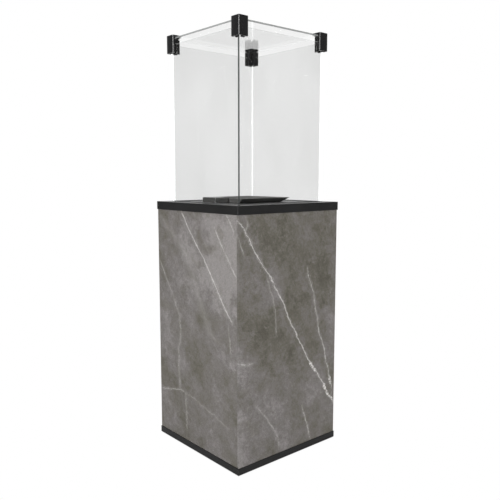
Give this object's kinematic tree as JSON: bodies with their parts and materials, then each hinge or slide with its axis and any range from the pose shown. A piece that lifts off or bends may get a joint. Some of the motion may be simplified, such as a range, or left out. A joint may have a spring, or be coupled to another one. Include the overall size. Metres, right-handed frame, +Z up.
{
  "type": "gas fire column",
  "caption": "Free-standing outdoor gas-fire column: hollow stone-clad base with rear door and controls, black deck with burner tray, glass enclosure under a raised, clamped glass lid.",
  "frame": {"origin": "on the floor, at the centre of the square footprint", "axes": "+Z up; -Y is the front, a plain stone face; +Y is the rear, with the door and the controls"},
  "size_m": [0.42, 0.42, 1.323],
  "materials": {
    "stone": "warm grey-brown marble-look slab, honed, cloudy with thin pale veins",
    "black_steel": "satin black powder coat with a fine texture",
    "clamp": "satin dark grey enamel",
    "glass": "clear tempered glass with polished edges",
    "rubber": "matt black silicone",
    "burner_steel": "dark heat-resistant enamel, satin",
    "bright_steel": "satin stainless steel",
    "brass": "turned brass",
    "aluminium": "die-cast, fine grained",
    "plastic": "matt black moulding",
    "ceramic": "glazed white insulator",
    "magnet": "brown magnet block"
  },
  "bodies": {
    "column": {"base_skirt": "black_steel", "floor_plate": "black_steel", "corner_post_front_left": "black_steel", "corner_post_front_right": "black_steel", "corner_post_rear_left": "black_steel", "corner_post_rear_right": "black_steel", "upper_frame": "black_steel", "top_deck": "black_steel", "control_niche": "black_steel", "foot_pad_front_left": "plastic", "foot_pad_front_right": "plastic", "foot_pad_rear_left": "plastic", "foot_pad_rear_right": "plastic", "piezo_igniter": "plastic", "stone_panel_front": "stone", "stone_panel_left": "stone", "stone_panel_right": "stone", "burner_tray": "burner_steel", "ignition_box": "burner_steel", "burner_ring": "bright_steel", "thermocouple": "bright_steel", "door_pivot_lower": "bright_steel", "door_pivot_upper": "bright_steel", "lock_keeper": "bright_steel", "burner_pipe": "bright_steel", "injector": "brass", "gas_inlet": "brass", "gas_valve": "aluminium", "spark_electrode": "ceramic", "glass_pane_front": "glass", "glass_pane_rear": "glass", "glass_pane_left": "glass", "glass_pane_right": "glass", "glass_lid": "glass", "glass_gasket": "rubber", "clamp_liner_front_left": "rubber", "clamp_liner_front_right": "rubber", "clamp_liner_rear_left": "rubber", "clamp_liner_rear_right": "rubber", "corner_clamp_front_left": "clamp", "corner_clamp_front_right": "clamp", "corner_clamp_rear_left": "clamp", "corner_clamp_rear_right": "clamp", "magnet_catch_lower": "magnet", "magnet_catch_upper": "magnet"},
    "door": {"stone_panel_door": "stone", "door_tray": "black_steel", "pivot_bush_lower": "plastic", "pivot_bush_upper": "plastic", "catch_strike_lower": "bright_steel", "catch_strike_upper": "bright_steel"},
    "door_lock": {"lock_barrel": "bright_steel", "lock_cam": "bright_steel"},
    "valve_plunger": {"push_sleeve": "brass"},
    "control_knob": {"control_knob": "plastic", "knob_spindle": "bright_steel"},
    "igniter_button": {"igniter_button": "bright_steel"}
  },
  "joints": [
    {"name": "door_hinge", "type": "hinge", "parent": "column", "child": "door", "pos_m": [-0.18, 0.194, 0.36], "axis": [0, 0, 1], "range_deg": [0, 115]},
    {"name": "lock_turn", "type": "hinge", "parent": "door", "child": "door_lock", "pos_m": [0.165, 0.19, 0.6], "axis": [0, -1, 0], "range_deg": [0, 90]},
    {"name": "valve_push", "type": "slide", "parent": "column", "child": "valve_plunger", "axis": [0, -1, 0], "range_m": [0, 0.003], "stiffness_N_per_m": 600, "springref_m": -0.004},
    {"name": "knob_turn", "type": "hinge", "parent": "valve_plunger", "child": "control_knob", "pos_m": [0.12, 0.19, 0.7275], "axis": [0, 1, 0], "range_deg": [0, 190]},
    {"name": "igniter_push", "type": "slide", "parent": "column", "child": "igniter_button", "axis": [0, -1, 0], "range_m": [0, 0.004], "stiffness_N_per_m": 900, "springref_m": -0.003}
  ]
}
